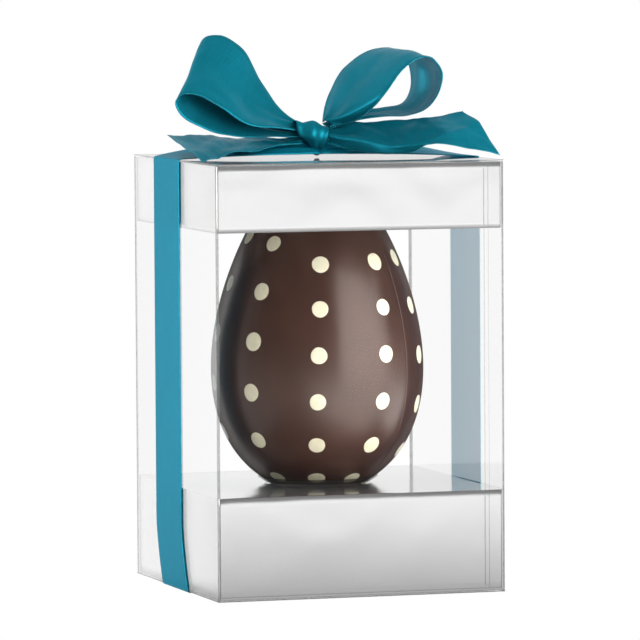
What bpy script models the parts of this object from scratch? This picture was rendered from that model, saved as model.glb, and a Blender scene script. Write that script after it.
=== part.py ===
"""A chocolate egg in a shut clear gift carton, tied with a satin ribbon and a bow.

Metres, +Z up. The origin is on the ground under the middle of the carton, +X runs to the
right along the front wall and +Y to the back wall. The pack stands on the ribbon's flat
run under its floor. Every piece is one closed solid, and neighbours keep a small gap.
"""

from math import cos, hypot, pi, sin

import bmesh
import bpy
from mathutils import Vector

MM = 0.001
FIT = 0.3 * MM  # gap between pieces that touch

# carton of clear film
CARTON_WIDTH = 130 * MM
CARTON_TOP = 189 * MM
FILM = 0.4 * MM
FOLD_RADIUS = 0.8 * MM

# silver card inserts
CARD = 0.8 * MM
LID_DEPTH = 28.9 * MM
PLINTH_TOP = 45.5 * MM

# egg, a turned shape: radius = BREADTH sin(t) (1 - TAPER cos(t)), height = MIDDLE + HALF_HEIGHT cos(t)
EGG_BREADTH = 45.5 * MM
EGG_TAPER = 0.26
EGG_HALF_HEIGHT = 72.75 * MM
EGG_MIDDLE = 113 * MM
EGG_RINGS = 36
EGG_SIDES = 48

# thin collar that the egg stands in
COLLAR_WALL = 0.7 * MM
COLLAR_FOOT = PLINTH_TOP + FIT
COLLAR_LIP = 48.8 * MM
COLLAR_STEPS = 4

# ribbon
RIBBON_WIDTH = 40 * MM
RIBBON = 0.4 * MM
BAND_LEFT_Y = 10 * MM  # middle of the band on the left wall
BAND_RIGHT_Y = -11 * MM  # and on the right wall, as the band lies a little askew
BAND_NECK = 13 * MM  # width where it goes into the knot
BAND_NECK_RISE = 3.2 * MM  # height of that place over the carton
CORNER_STEPS = 4
STEPS_ALONG = 36
STEPS_ACROSS = 4

KNOT_LEFT = -8.5 * MM
KNOT_RIGHT = 6.5 * MM
KNOT_DEPTH = 14 * MM
KNOT_HEIGHT = 15.5 * MM
KNOT_WAIST = 0.55  # width of its foot as a share of its top

# Each strand of the bow is a list of cross-sections: its front edge and its back edge, in
# millimetres from the middle of the carton's top.
LEFT_LOOP = [
    ((-8.8, -3, 11.8), (-8.8, 5, 14.8)),
    ((-20, -4.5, 13), (-14, 12.5, 22.5)),
    ((-33, -4.5, 14.5), (-19.5, 20, 34)),
    ((-43, -3.5, 21.5), (-25.5, 22.5, 45.5)),
    ((-52.5, -0.5, 27.5), (-34, 25.5, 52.5)),
    ((-60, 2, 28.5), (-41.5, 27.5, 53)),
    ((-63, 3, 24.5), (-44.5, 28.5, 49.5)),
    ((-60, 2, 18.8), (-42, 27.5, 42.5)),
    ((-48, 0.5, 12.6), (-31.5, 22.5, 31)),
    ((-35, -1.5, 9.6), (-22, 15, 20)),
    ((-20, -2.5, 9.2), (-14, 8.5, 14)),
    ((-8.8, -3, 9.2), (-8.8, 5, 11.6)),
]
RIGHT_LOOP = [
    ((6.8, -4.5, 13.2), (6.8, 4, 15.8)),
    ((14, -17.5, 17.5), (9.5, 9.5, 26.5)),
    ((21, -26, 26), (14, 12, 34.5)),
    ((28, -29.5, 36), (19, 10, 40.5)),
    ((35, -32, 42.5), (25.5, 7, 46)),
    ((42.5, -34, 44.5), (35, 5, 47.5)),
    ((47.5, -35.5, 38.5), (42.5, 3.5, 43)),
    ((47, -35, 31), (45, 3, 34.5)),
    ((43, -30, 23), (43.5, 1.5, 27)),
    ((36.5, -21, 19), (38, -2, 22.6)),
    ((27, -13, 17.6), (30, -2, 21.4)),
    ((16, -8, 15), (18, 1, 18.4)),
    ((6.8, -4.5, 11.4), (6.8, 4, 13.6)),
]
LEFT_TAIL = [
    ((-8.8, -3, 5.8), (-8.8, 4, 7.6)),
    ((-19, -4, 4.8), (-18.7, 11, 7.4)),
    ((-31, -11, 3.8), (-30, 15, 7.8)),
    ((-49, -24, 2.2), (-45, 18, 8.8)),
    ((-64, -41, 0.9), (-62, 20, 9.6)),
]
RIGHT_TAIL = [
    ((6.8, -5, 8), (6.8, 3, 10.4)),
    ((10.5, -12.6, 5.5), (12.5, -3.8, 13)),
    ((17, -22, 3.6), (21.1, -11.8, 14.6)),
    ((24, -33, 2.6), (29.9, -18.7, 15.2)),
    ((32, -42, 3.6), (38.4, -24.5, 16.3)),
    ((38, -49, 6.5), (44.3, -28.4, 17.3)),
    ((46, -56, 6.8), (51, -32, 18.8)),
    ((64.3, -62, 1.8), (56.5, -35.2, 19.9)),
]


def clear_scene():
    for item in list(bpy.data.objects):
        bpy.data.objects.remove(item, do_unlink=True)


def finish(name, colour, roughness, metallic=0.0, alpha=1.0):
    material = bpy.data.materials.new(name)
    material.use_nodes = True
    shader = material.node_tree.nodes["Principled BSDF"]
    shader.inputs["Base Color"].default_value = (*colour, 1.0)
    shader.inputs["Roughness"].default_value = roughness
    shader.inputs["Metallic"].default_value = metallic
    shader.inputs["Alpha"].default_value = alpha
    return material


def add_piece(name, form, material, smooth_below=0.6):
    """Turns a bmesh into an object in world space and drops the bmesh."""
    bmesh.ops.recalc_face_normals(form, faces=form.faces)
    mesh = bpy.data.meshes.new(name)
    form.to_mesh(mesh)
    form.free()
    mesh.shade_smooth()
    mesh.set_sharp_from_angle(angle=smooth_below)
    mesh.materials.append(material)
    piece = bpy.data.objects.new(name, mesh)
    bpy.context.collection.objects.link(piece)
    return piece


def block(width, low, high):
    """A square block round the Z axis, from height low to height high."""
    form = bmesh.new()
    bmesh.ops.create_cube(form, size=1.0)
    for vert in form.verts:
        vert.co = Vector((vert.co.x * width, vert.co.y * width, low + (vert.co.z + 0.5) * (high - low)))
    return form


def round_folds(form):
    """Rounds the four upright edges, as folded sheet has them."""
    upright = [e for e in form.edges if abs(e.verts[0].co.z - e.verts[1].co.z) > FOLD_RADIUS]
    bmesh.ops.bevel(form, geom=upright, offset=FOLD_RADIUS, segments=2, profile=0.5, affect="EDGES")


def open_box(name, width, low, high, wall, open_up, material):
    """Four walls and one level panel of sheet, open at the top or at the bottom."""
    form = block(width, low, high)
    side = 1 if open_up else -1
    bmesh.ops.delete(form, geom=[f for f in form.faces if f.normal.z * side > 0.5], context="FACES_ONLY")
    round_folds(form)
    piece = add_piece(name, form, material)
    sheet = piece.modifiers.new("sheet", "SOLIDIFY")
    sheet.thickness = wall
    sheet.offset = -1
    sheet.use_even_offset = True
    return piece


def panel(name, width, low, high, material):
    form = block(width, low, high)
    round_folds(form)
    return add_piece(name, form, material)


def egg_point(turn, grow=0.0):
    """(radius, height) on the egg's outline, turn running from 0 at the tip to pi, moved out by grow."""
    radius = EGG_BREADTH * sin(turn) * (1 - EGG_TAPER * cos(turn))
    height = EGG_MIDDLE + EGG_HALF_HEIGHT * cos(turn)
    d_radius = EGG_BREADTH * (cos(turn) - EGG_TAPER * cos(2 * turn))
    d_height = -EGG_HALF_HEIGHT * sin(turn)
    length = hypot(d_radius, d_height)
    return radius - grow * d_height / length, height + grow * d_radius / length


def egg_turn_at(height):
    """The turn of the outline's point at this height, found by halving."""
    low, high = pi / 2, pi
    for _ in range(40):
        middle = (low + high) / 2
        if egg_point(middle)[1] > height:
            low = middle
        else:
            high = middle
    return low


def turned(outline, sides, poles):
    """Spins (radius, height) points round Z. With poles the first and last point lie on the axis."""
    form = bmesh.new()
    rings = []
    body = outline[1:-1] if poles else outline
    for radius, height in body:
        turns = [2 * pi * k / sides for k in range(sides)]
        rings.append([form.verts.new((radius * cos(a), radius * sin(a), height)) for a in turns])
    pairs = list(zip(rings, rings[1:]))
    if not poles:
        pairs.append((rings[-1], rings[0]))
    for upper, lower in pairs:
        for k in range(sides):
            after = (k + 1) % sides
            form.faces.new((upper[k], lower[k], lower[after], upper[after]))
    if poles:
        for ring, end in ((rings[0], outline[0]), (rings[-1], outline[-1])):
            pole = form.verts.new((0, 0, end[1]))
            for k in range(sides):
                form.faces.new((pole, ring[k], ring[(k + 1) % sides]))
    return form


def egg_form(grow=0.0):
    outline = [egg_point(pi * k / EGG_RINGS, grow) for k in range(EGG_RINGS + 1)]
    return turned(outline, EGG_SIDES, poles=True)


def make_egg(material):
    return add_piece("egg", egg_form(), material)


def make_plinth(card, width, low):
    """The block the egg sinks into. Its seat is the egg's own shape, one gap larger."""
    plinth = panel("plinth", width, low, PLINTH_TOP, card)
    cutter = add_piece("seat_cutter", egg_form(FIT), card)
    cutter.hide_render = True
    cutter.display_type = "WIRE"
    cut = plinth.modifiers.new("seat", "BOOLEAN")
    cut.operation = "DIFFERENCE"
    cut.object = cutter
    return plinth


def make_collar(material):
    """A thin flared lip round the egg, from the plinth up to COLLAR_LIP."""
    foot = egg_turn_at(COLLAR_FOOT + FIT)
    lip = egg_turn_at(COLLAR_LIP)
    turns = [foot + (lip - foot) * k / COLLAR_STEPS for k in range(COLLAR_STEPS + 1)]
    inner = [egg_point(turn, FIT) for turn in turns]
    outer = [egg_point(turn, FIT + COLLAR_WALL) for turn in turns]
    outer[0] = (outer[0][0], COLLAR_FOOT)
    inner[0] = (inner[0][0], COLLAR_FOOT)
    return add_piece("collar", turned(inner + outer[::-1], EGG_SIDES, poles=False), material)


def through(points, count):
    """count + 1 points on a smooth curve through the given points, spaced by their distances."""
    points = [Vector(p) for p in points]
    knots = [0.0]
    for before, after in zip(points, points[1:]):
        knots.append(knots[-1] + (after - before).length)
    slopes = []
    last = len(points) - 1
    for k in range(last + 1):
        low, high = max(k - 1, 0), min(k + 1, last)
        slopes.append((points[high] - points[low]) / (knots[high] - knots[low]))
    out = []
    k = 0
    for step in range(count + 1):
        place = knots[-1] * step / count
        while k < last - 1 and place > knots[k + 1]:
            k += 1
        span = knots[k + 1] - knots[k]
        t = (place - knots[k]) / span
        out.append(
            points[k] * (2 * t**3 - 3 * t**2 + 1)
            + slopes[k] * span * (t**3 - 2 * t**2 + t)
            + points[k + 1] * (3 * t**2 - 2 * t**3)
            + slopes[k + 1] * span * (t**3 - t**2)
        )
    return out


def strip(name, fronts, backs, material):
    """One closed ribbon solid between a front edge and a back edge of the same number of points."""
    form = bmesh.new()
    sides = ([], [])
    last = len(fronts) - 1
    for k in range(last + 1):
        low, high = max(k - 1, 0), min(k + 1, last)
        along = (fronts[high] + backs[high]) - (fronts[low] + backs[low])
        up = along.cross(backs[k] - fronts[k]).normalized() * RIBBON / 2
        for side, offset in zip(sides, (up, -up)):
            row = [fronts[k].lerp(backs[k], j / STEPS_ACROSS) + offset for j in range(STEPS_ACROSS + 1)]
            side.append([form.verts.new(p) for p in row])
    top, under = sides
    for k in range(last):
        for j in range(STEPS_ACROSS):
            for rows in (top, under):
                a, b, c, d = rows[k][j], rows[k][j + 1], rows[k + 1][j + 1], rows[k + 1][j]
                form.faces.new((a, b, c))
                form.faces.new((a, c, d))
        for j in (0, STEPS_ACROSS):
            form.faces.new((top[k][j], top[k + 1][j], under[k + 1][j], under[k][j]))
    for k in (0, last):
        for j in range(STEPS_ACROSS):
            form.faces.new((top[k][j], top[k][j + 1], under[k][j + 1], under[k][j]))
    return add_piece(name, form, material)


def strand(name, sections, material):
    """A strand of the bow, from its cross-sections over the carton's top."""
    lift = Vector((0, 0, CARTON_TOP))
    edges = []
    for edge in (0, 1):
        edges.append([p * MM + lift for p in through([s[edge] for s in sections], STEPS_ALONG)])
    return strip(name, edges[0], edges[1], material)


def corner(x, z, start, radius):
    """Points of a quarter turn round (x, z), from the angle start on."""
    angles = [start + pi / 2 * k / CORNER_STEPS for k in range(CORNER_STEPS + 1)]
    return [(x + radius * cos(a), z + radius * sin(a)) for a in angles]


def make_band(material):
    """The run from the knot's left side round the carton, under its floor, to the knot's right side."""
    edge = CARTON_WIDTH / 2
    radius = FIT + RIBBON / 2
    out = edge + radius
    neck = CARTON_TOP + BAND_NECK_RISE
    path = [(KNOT_LEFT - FIT, neck)]
    path += corner(-edge, CARTON_TOP, pi / 2, radius)
    path += corner(-edge, radius + RIBBON / 2, pi, radius)
    path += corner(edge, radius + RIBBON / 2, 3 * pi / 2, radius)
    path += corner(edge, CARTON_TOP, 0, radius)
    path.append((KNOT_RIGHT + FIT, neck))
    fronts, backs = [], []
    for k, (x, z) in enumerate(path):
        at_knot = k in (0, len(path) - 1)
        share = (x + out) / (2 * out)
        middle = 0.0 if at_knot else BAND_LEFT_Y + share * (BAND_RIGHT_Y - BAND_LEFT_Y)
        half = (BAND_NECK if at_knot else RIBBON_WIDTH) / 2
        fronts.append(Vector((x, middle - half, z)))
        backs.append(Vector((x, middle + half, z)))
    return strip("ribbon_band", fronts, backs, material)


def make_knot(material):
    """A rounded block that is narrower at its foot."""
    form = bmesh.new()
    bmesh.ops.create_cube(form, size=1.0)
    middle = (KNOT_LEFT + KNOT_RIGHT) / 2
    for vert in form.verts:
        x, y, z = vert.co
        narrow = KNOT_WAIST + (1 - KNOT_WAIST) * (z + 0.5)
        vert.co.x = middle + x * (KNOT_RIGHT - KNOT_LEFT) * narrow
        vert.co.y = y * KNOT_DEPTH * narrow
        vert.co.z = CARTON_TOP + FIT + (z + 0.5) * KNOT_HEIGHT
    bmesh.ops.bevel(form, geom=form.edges[:], offset=1.6 * MM, segments=3, profile=0.5, affect="EDGES")
    return add_piece("bow_knot", form, material)


def main():
    clear_scene()
    film = finish("clear_film", (0.95, 0.97, 0.98), 0.05, alpha=0.2)
    card = finish("silver_card", (0.85, 0.85, 0.86), 0.18, metallic=1.0)
    chocolate = finish("dark_chocolate", (0.052, 0.028, 0.022), 0.3)
    satin = finish("teal_satin", (0.010, 0.200, 0.270), 0.4)

    floor = RIBBON + FIT
    roof = CARTON_TOP - FILM
    inside = CARTON_WIDTH - 2 * (FILM + FIT)
    open_box("carton_walls", CARTON_WIDTH, floor, roof - FIT, FILM, True, film)
    panel("carton_top", CARTON_WIDTH, roof, CARTON_TOP, film)
    lid_top = roof - FIT
    open_box("lid_insert", inside, lid_top - LID_DEPTH, lid_top, CARD, False, card)
    make_plinth(card, inside, floor + FILM + FIT)
    make_collar(film)
    make_egg(chocolate)
    make_band(satin)
    make_knot(satin)
    strand("bow_loop_left", LEFT_LOOP, satin)
    strand("bow_loop_right", RIGHT_LOOP, satin)
    strand("bow_tail_left", LEFT_TAIL, satin)
    strand("bow_tail_right", RIGHT_TAIL, satin)


main()
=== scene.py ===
from math import cos, exp, hypot, pi, radians, sin

import bmesh
import bpy
from mathutils import Matrix, Vector
from mathutils.noise import noise


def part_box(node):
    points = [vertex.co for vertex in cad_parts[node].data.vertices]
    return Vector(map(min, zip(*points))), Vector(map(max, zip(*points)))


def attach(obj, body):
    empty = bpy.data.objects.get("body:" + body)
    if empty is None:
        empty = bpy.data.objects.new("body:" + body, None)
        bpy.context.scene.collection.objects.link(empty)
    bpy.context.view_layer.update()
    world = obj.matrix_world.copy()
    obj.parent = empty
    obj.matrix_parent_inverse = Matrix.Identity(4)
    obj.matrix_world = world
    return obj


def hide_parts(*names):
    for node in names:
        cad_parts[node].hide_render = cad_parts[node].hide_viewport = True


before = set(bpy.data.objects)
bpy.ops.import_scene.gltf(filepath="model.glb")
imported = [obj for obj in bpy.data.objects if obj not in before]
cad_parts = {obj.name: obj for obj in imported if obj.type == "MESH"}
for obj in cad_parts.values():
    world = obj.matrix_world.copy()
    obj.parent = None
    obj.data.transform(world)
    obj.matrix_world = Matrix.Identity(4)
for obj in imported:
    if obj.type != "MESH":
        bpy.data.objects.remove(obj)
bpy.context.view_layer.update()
mm = 0.001

wallLow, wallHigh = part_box("carton_walls")
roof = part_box("carton_top")[1].z
side = wallHigh.x  # from the middle of the carton to its outer face


def linear(code):
    # an sRGB hex colour as linear RGBA
    parts = [int(code[k : k + 2], 16) / 255 for k in (1, 3, 5)]
    return tuple(c / 12.92 if c <= 0.04045 else ((c + 0.055) / 1.055) ** 2.4 for c in parts) + (1.0,)


def addNode(tree, kind, settings=None, links=None):
    # one node with its settings and what feeds it: sockets, nodes by their first output, or numbers
    node = tree.nodes.new(kind)
    for key, value in (settings or {}).items():
        if isinstance(key, int) or key in node.inputs:
            node.inputs[key].default_value = value
        elif key == "stops":
            points = node.color_ramp.elements
            while len(points) < len(value):
                points.new(0.5)
            for point, (where, code) in zip(points, value):
                point.position = where
                point.color = linear(code)
        else:
            setattr(node, key, value)
    feeds = links if isinstance(links, dict) else dict(enumerate(links or ()))
    for key, source in feeds.items():
        if isinstance(source, (int, float)):
            node.inputs[key].default_value = source
        else:
            tree.links.new(getattr(source, "outputs", [source])[0], node.inputs[key])
    return node


# kinds and settings that many nodes share
mathNode, vectorMath, noiseNode = "ShaderNodeMath", "ShaderNodeVectorMath", "ShaderNodeTexNoise"
rampNode, bumpNode, mixShader = "ShaderNodeValToRGB", "ShaderNodeBump", "ShaderNodeMixShader"
rangeNode, principled = "ShaderNodeMapRange", "ShaderNodeBsdfPrincipled"
moveNode, attributeNode = "GeometryNodeSetPosition", "GeometryNodeInputNamedAttribute"
adds, subtracts, multiplies, divides, measures = (
    {"operation": name} for name in ("ADD", "SUBTRACT", "MULTIPLY", "DIVIDE", "LENGTH")
)


def newMaterial(name, pattern=None):
    # a material, its empty tree, and where its pattern is read: on the object or on a UV map
    material = bpy.data.materials.new(name)
    material.use_nodes = True
    tree = material.node_tree
    tree.nodes.clear()
    if pattern:
        return material, tree, addNode(tree, "ShaderNodeUVMap", {"uv_map": pattern}).outputs[0]
    return material, tree, addNode(tree, "ShaderNodeTexCoord").outputs["Object"]


def endMaterial(material, tree, shader):
    addNode(tree, "ShaderNodeOutputMaterial", links={"Surface": shader})
    return material


def newObject(name, mesh, material, sharpFrom=None):
    mesh.shade_smooth()
    if sharpFrom is not None:
        mesh.set_sharp_from_angle(angle=radians(sharpFrom))
    if material:
        mesh.materials.append(material)
    piece = bpy.data.objects.new(name, mesh)
    bpy.context.collection.objects.link(piece)
    return piece


def meshOf(form, name):
    mesh = bpy.data.meshes.new(name)
    form.to_mesh(mesh)
    form.free()
    return mesh


def place(piece, slot, *nodes):
    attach(piece, "root")
    for name, lit in litBy.items():
        if slot in lamps[name][6]:
            lit.objects.link(piece)
    if nodes:
        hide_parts(*nodes)
    return piece


def newTree(name, values):
    # a Geometry Nodes tree with a mesh in and out, and an input for each value
    tree = bpy.data.node_groups.new(name, "GeometryNodeTree")
    tree.interface.new_socket("Geometry", in_out="INPUT", socket_type="NodeSocketGeometry")
    for label, value in values.items():
        kind = {float: "NodeSocketFloat", int: "NodeSocketInt"}.get(type(value), "NodeSocketMaterial")
        tree.interface.new_socket(label, in_out="INPUT", socket_type=kind)
    tree.interface.new_socket("Geometry", in_out="OUTPUT", socket_type="NodeSocketGeometry")
    return tree, addNode(tree, "NodeGroupInput").outputs


def endTree(tree, geometry, material):
    whole = addNode(tree, "GeometryNodeRealizeInstances", links={"Geometry": geometry})
    painted = addNode(tree, "GeometryNodeSetMaterial", links={"Geometry": whole, "Material": material})
    addNode(tree, "NodeGroupOutput", links={0: painted})


def grow(name, tree, values, start=None, sharpFrom=None):
    # runs a tree on a start mesh and keeps its result as a plain mesh
    holder = bpy.data.objects.new(name + "Start", start or bpy.data.meshes.new(name + "Start"))
    bpy.context.collection.objects.link(holder)
    modifier = holder.modifiers.new("grow", "NODES")
    modifier.node_group = tree
    for item in tree.interface.items_tree:
        if item.item_type == "SOCKET" and item.in_out == "INPUT" and item.name in values:
            modifier[item.identifier] = values[item.name]
    depsgraph = bpy.context.evaluated_depsgraph_get()
    mesh = bpy.data.meshes.new_from_object(holder.evaluated_get(depsgraph), depsgraph=depsgraph)
    bpy.data.objects.remove(holder, do_unlink=True)
    mesh.name = name
    return newObject(name, mesh, None, sharpFrom)


def curveThrough(points, count):
    # count + 1 points on a smooth curve through the given ones, spaced by distance
    knots = [0.0]
    for before, after in zip(points, points[1:]):
        knots.append(knots[-1] + max((after - before).length, 1e-6))
    last = len(points) - 1
    slopes = []
    for k in range(last + 1):
        low, high = max(k - 1, 0), min(k + 1, last)
        slopes.append((points[high] - points[low]) / (knots[high] - knots[low]))
    out, k = [], 0
    for step in range(count + 1):
        where = knots[-1] * step / count
        while k < last - 1 and where > knots[k + 1]:
            k += 1
        span = knots[k + 1] - knots[k]
        t = (where - knots[k]) / span
        out.append(
            points[k] * (2 * t**3 - 3 * t**2 + 1)
            + slopes[k] * span * (t**3 - 2 * t**2 + t)
            + points[k + 1] * (3 * t**2 - 2 * t**3)
            + slopes[k + 1] * span * (t**3 - t**2)
        )
    return out


cameraSet = {
    "turn": -17.25,  # degrees round the object, to the left of its front
    "down": 3.7,
    "roll": -0.354,
    "distance": 2.732,
    "lens": 347.9,
    "aimRight": 1.4 * mm,
    "aimUp": 22.4 * mm,
}


def makeCamera(values):
    turn, down, roll = (radians(values[k]) for k in ("turn", "down", "roll"))
    ahead = Vector((-sin(turn) * cos(down), cos(turn) * cos(down), -sin(down)))
    right = Vector((cos(turn), sin(turn), 0))
    up = right.cross(ahead)
    aim = Vector((0, 0, roof / 2)) + right * values["aimRight"] + up * values["aimUp"]
    rolledRight = right * cos(roll) + up * sin(roll)
    rolledUp = up * cos(roll) - right * sin(roll)
    data = bpy.data.cameras.new("camera")
    data.lens = values["lens"]
    data.clip_end = 60
    camera = bpy.data.objects.new("camera", data)
    facing = Matrix((rolledRight, rolledUp, -ahead)).transposed().to_4x4()
    camera.matrix_world = Matrix.Translation(aim - ahead * values["distance"]) @ facing
    bpy.context.collection.objects.link(camera)
    bpy.context.scene.camera = camera


makeCamera(cameraSet)
print("camera")


studio = {
    "seen": 1.0,  # what the camera meets beyond the object
    "backdrop": 0.97,  # radiance behind the object
    "room": 0.11,  # and in front of it
    "glowBack": 1.08,  # the floor's painted glow behind the object and on its left
    "glowFar": 1.32,  # in front of it, half a metre off
    "glowNearPaintedShade": 0.55,  # and close to it, lower there as painted shade
    "middle": 0.1,  # height the lamps aim at
    "tableTurn": 37.0,
    "tableDistance": 0.52,
    "tableHeight": 0.002,
    "tableSize": (0.7, 0.8),
    "table": 3.6,  # radiance of the lit table in front of the softbox
}

# turn round the object, distance, height, width, tall, radiance, what it lights, seen in gloss
lamps = {
    "softbox": (37.0, 1.3, 0.55, 1.45, 1.2, 5.7, ("chocolate", "satin"), True),
    "side": (-112.0, 1.0, 0.1, 1.1, 0.9, 5.0, ("satin", "silver_card"), True),
    "fill": (-5.0, 1.2, 1.1, 1.5, 1.2, 0.45, ("satin", "silver_card"), False),
    "top": (206.565, 0.22361, 1.6, 1.4, 1.4, 1.2, (), False),
}

# a lamp that lights only some slots has a collection of the pieces in them
litBy = {name: bpy.data.collections.new("lit by the " + name) for name in lamps if lamps[name][6]}


def makeWorld(values):
    world = bpy.data.worlds.new("studio")
    world.use_nodes = True
    tree = world.node_tree
    tree.nodes.clear()
    path = addNode(tree, "ShaderNodeLightPath")
    direction = addNode(tree, "ShaderNodeTexCoord").outputs["Generated"]
    backward = addNode(tree, "ShaderNodeSeparateXYZ", links={0: direction}).outputs[1]
    strength = addNode(
        tree,
        rangeNode,
        {"From Min": -0.2, "From Max": 0.75, "To Min": values["room"], "To Max": values["backdrop"]},
        {"Value": backward},
    )
    light = addNode(tree, "ShaderNodeBackground", {"Color": (1, 1, 1, 1)}, {"Strength": strength})
    seen = addNode(tree, "ShaderNodeBackground", {"Color": (1, 1, 1, 1), "Strength": values["seen"]})
    both = addNode(tree, mixShader, links=[path.outputs["Is Camera Ray"], light, seen])
    addNode(tree, "ShaderNodeOutputWorld", links={"Surface": both})
    bpy.context.scene.world = world


def areaLight(name, position, target, width, height, radiance):
    data = bpy.data.lights.new(name, "AREA")
    data.shape = "RECTANGLE"
    data.size, data.size_y = width, height
    data.energy = radiance * pi * width * height
    lamp = bpy.data.objects.new(name, data)
    lamp.location = position
    lamp.rotation_euler = (target - position).to_track_quat("-Z", "Y").to_euler()
    bpy.context.collection.objects.link(lamp)
    return lamp


def around(turn, distance, height):
    angle = radians(turn)
    return Vector((sin(angle) * distance, -cos(angle) * distance, height))


def makeStudio(values):
    makeWorld(values)
    bpy.context.scene.view_settings.view_transform = "Standard"
    for name, (turn, distance, height, width, tall, radiance, slots, glossy) in lamps.items():
        # the softbox stands upright, and the others tip towards the object
        aim = Vector((0, 0, height if name == "softbox" else values["middle"]))
        lamp = areaLight(name, around(turn, distance, height), aim, width, tall, radiance)
        lamp.visible_glossy = glossy
        if slots:
            lamp.light_linking.receiver_collection = litBy[name]
    near = around(values["tableTurn"], values["tableDistance"], values["tableHeight"])
    above = near + Vector((0, 0, 1))
    table = areaLight("lit table", near, above, *values["tableSize"], values["table"])
    table.rotation_euler.z += radians(values["tableTurn"])
    table.light_linking.receiver_collection = litBy["softbox"]

    # the floor is a glowing sweep; the camera meets it fully bright, reflections and bounced light meet
    # a painted glow, brighter behind and far off and dimmer close to the object as painted shade
    material, tree, where = newMaterial("white studio floor")
    path = addNode(tree, "ShaderNodeLightPath")
    lit = addNode(tree, "ShaderNodeEmission", {"Color": (1, 1, 1, 1), "Strength": values["seen"]})
    # painted shade: the glow is lower close to the object and higher further off
    reach = addNode(tree, vectorMath, measures, {0: where}).outputs["Value"]
    front = addNode(
        tree,
        rangeNode,
        {"From Min": 0.1, "From Max": 0.5, "To Min": values["glowNearPaintedShade"], "To Max": values["glowFar"]},
        {"Value": reach},
    )
    behind = addNode(
        tree, vectorMath, {"operation": "DOT_PRODUCT", 1: (-0.8, 0.6, 0.0)}, {0: where}
    ).outputs["Value"]
    back = addNode(tree, rangeNode, {"From Min": 0.03, "From Max": 0.1}, {"Value": behind})
    strength = addNode(
        tree, "ShaderNodeMix", {"data_type": "FLOAT", 3: values["glowBack"]}, {0: back, 2: front}
    )
    glow = addNode(tree, "ShaderNodeEmission", {"Color": (1, 1, 1, 1)}, {"Strength": strength})
    both = addNode(tree, mixShader, links=[path.outputs["Is Camera Ray"], glow, lit])
    endMaterial(material, tree, both)
    form = bmesh.new()
    bmesh.ops.create_grid(form, x_segments=8, y_segments=8, size=20)
    newObject("floor", meshOf(form, "floor"), material)


makeStudio(studio)
print("studio")


def temperedChocolate():
    # dark chocolate cast in a polished mould: near black brown, a broad soft gloss, faint rubs
    material, tree, where = newMaterial("tempered dark chocolate")
    cloud = addNode(tree, noiseNode, {"Scale": 60, "Detail": 4}, {"Vector": where})
    colour = addNode(tree, rampNode, {"stops": ((0.3, "#35201a"), (0.7, "#3f2820"))}, [cloud])
    stretched = addNode(tree, "ShaderNodeMapping", {"Scale": (90, 90, 14)}, {"Vector": where})
    rubs = addNode(tree, noiseNode, {"Scale": 3, "Detail": 5}, {"Vector": stretched})
    rubbed = addNode(tree, rangeNode, {"To Min": 0.27, "To Max": 0.37}, {"Value": rubs})
    # the fine bloom on the surface dulls it where it is seen along the shell
    edge = addNode(tree, "ShaderNodeLayerWeight", {"Blend": 0.5}).outputs["Facing"]
    dull = addNode(tree, rangeNode, {"From Min": 0.6, "From Max": 0.95, "To Max": 0.6}, {"Value": edge})
    rough = addNode(tree, mathNode, adds, [rubbed, dull])
    wave = addNode(tree, noiseNode, {"Scale": 45, "Detail": 1}, {"Vector": where})
    fine = addNode(tree, noiseNode, {"Scale": 900, "Detail": 3}, {"Vector": where})
    broad = addNode(tree, bumpNode, {"Strength": 0.6, "Distance": 0.25 * mm}, {"Height": wave})
    settings = {"Strength": 0.25, "Distance": 0.03 * mm}
    surface = addNode(tree, bumpNode, settings, {"Height": fine, "Normal": broad})
    # polishing down the mould draws the gloss out from tip to foot
    ringwise = addNode(tree, "ShaderNodeTangent", {"direction_type": "RADIAL", "axis": "Z"})
    shader = addNode(
        tree,
        principled,
        {
            "IOR": 1.5,
            "Specular IOR Level": 0.58,
            "Specular Tint": linear("#f6e8e0"),
            "Anisotropic": 0.6,
            "Anisotropic Rotation": 0.25,
        },
        {"Base Color": colour, "Roughness": rough, "Normal": surface, "Tangent": ringwise},
    )
    return endMaterial(material, tree, shader)


def cocoaButterCream():
    # white chocolate pressed on as a thin disc: warm cream, waxy, a little mottled
    material, tree, where = newMaterial("white chocolate")
    cloud = addNode(tree, noiseNode, {"Scale": 420, "Detail": 4}, {"Vector": where})
    colour = addNode(tree, rampNode, {"stops": ((0.3, "#d0c8ab"), (0.7, "#d9d3ba"))}, [cloud])
    surface = addNode(tree, bumpNode, {"Strength": 0.3, "Distance": 0.05 * mm}, {"Height": cloud})
    shader = addNode(
        tree,
        principled,
        {"Roughness": 0.42, "IOR": 1.46, "Subsurface Weight": 0.15, "Subsurface Scale": 0.5 * mm},
        {"Base Color": colour, "Normal": surface},
    )
    return endMaterial(material, tree, shader)


def clearFilm(name, rough, uneven):
    # stiff clear film, 0.4 mm: invisible face on, a milky mirror along its surface
    material, tree, where = newMaterial(name)
    wave = addNode(tree, noiseNode, {"Scale": 22, "Detail": 1}, {"Vector": where})
    surface = addNode(tree, bumpNode, {"Strength": uneven, "Distance": 0.4 * mm}, {"Height": wave})
    through = addNode(tree, "ShaderNodeBsdfTransparent", {"Color": (1, 1, 1, 1)})
    gloss = addNode(tree, "ShaderNodeBsdfGlossy", {"Roughness": rough}, {"Normal": surface})
    # share of light it throws back: little face on, much along its surface
    facing = addNode(tree, "ShaderNodeLayerWeight", {"Blend": 0.5}).outputs["Facing"]
    curve = addNode(tree, mathNode, {"operation": "POWER"}, [facing, 2.0])
    share = addNode(tree, rangeNode, {"To Min": 0.001, "To Max": 0.9}, [curve])
    both = addNode(tree, mixShader, links=[share, through, gloss])
    return endMaterial(material, tree, both)


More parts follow.
